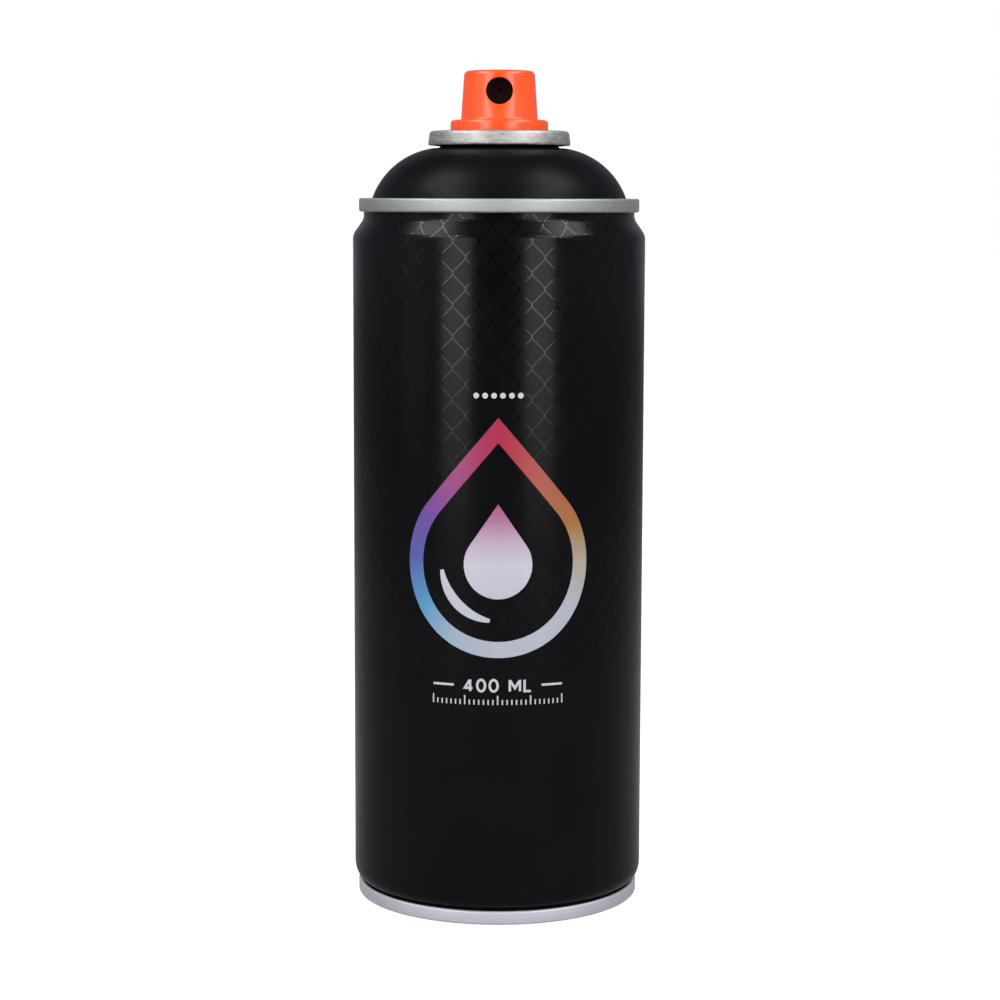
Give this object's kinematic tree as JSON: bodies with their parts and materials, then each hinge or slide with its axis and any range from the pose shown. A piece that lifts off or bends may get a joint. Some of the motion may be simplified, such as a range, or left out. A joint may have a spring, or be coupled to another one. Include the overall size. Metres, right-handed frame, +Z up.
{
  "type": "aerosol spray paint can",
  "caption": "Necked-in tinplate aerosol can for spray paint, with a domed top, clinched valve cup and a press-down actuator with a side-facing nozzle insert.",
  "frame": {"origin": "centre of the foot ring, on the plane the can stands on", "axes": "+Z up along the can, -Y the way the nozzle points, +X to the right seen from the front"},
  "size_m": [0.0652, 0.0652, 0.1852],
  "materials": {
    "body_paint": "satin black paint with a gloss varnish mesh",
    "dome_paint": "matt black paint",
    "tinplate": "bare tinplate, fine circumferential grain",
    "cup_plate": "bright clear-lacquered tinplate",
    "nitrile": "matt",
    "seam_compound": "matt",
    "natural_plastic": "natural moulded acetal",
    "tube_plastic": "natural extruded polythene",
    "spring_steel": "bright drawn wire",
    "ball_steel": "polished",
    "actuator_plastic": "orange, moulded gloss",
    "insert_plastic": "black, moulded"
  },
  "bodies": {
    "can": {"can_body": "body_paint", "top_dome": "dome_paint", "base_dome": "tinplate", "base_seam_compound": "seam_compound", "top_seam_compound": "seam_compound", "mounting_cup": "cup_plate", "cup_gasket": "nitrile", "stem_gasket": "nitrile", "valve_housing": "natural_plastic", "dip_tube": "tube_plastic"},
    "spring": {"valve_spring": "spring_steel"},
    "seat": {"valve_seat": "natural_plastic"},
    "actuator": {"actuator_button": "actuator_plastic", "nozzle_insert": "insert_plastic"},
    "ball_1": {"agitator_ball_1": "ball_steel"},
    "ball_2": {"agitator_ball_2": "ball_steel"}
  },
  "joints": [
    {"name": "actuator_turn", "type": "hinge", "parent": "can", "child": "spring", "pos_m": [0, 0, 0.172], "axis": [0, 0, 1], "continuous": true},
    {"name": "actuator_press", "type": "slide", "parent": "spring", "child": "seat", "axis": [0, 0, -1], "range_m": [0, 0.0015], "stiffness_N_per_m": 3000, "deforming": ["valve_spring"]},
    {"name": "actuator_pull_off", "type": "slide", "parent": "seat", "child": "actuator", "axis": [0, 0, 1], "range_m": [0, 0.012]},
    {"name": "ball_1_shake", "type": "slide", "parent": "can", "child": "ball_1", "axis": [0, 0, 1], "range_m": [0, 0.13]},
    {"name": "ball_2_shake", "type": "slide", "parent": "can", "child": "ball_2", "axis": [0, 0, 1], "range_m": [0, 0.13]}
  ]
}
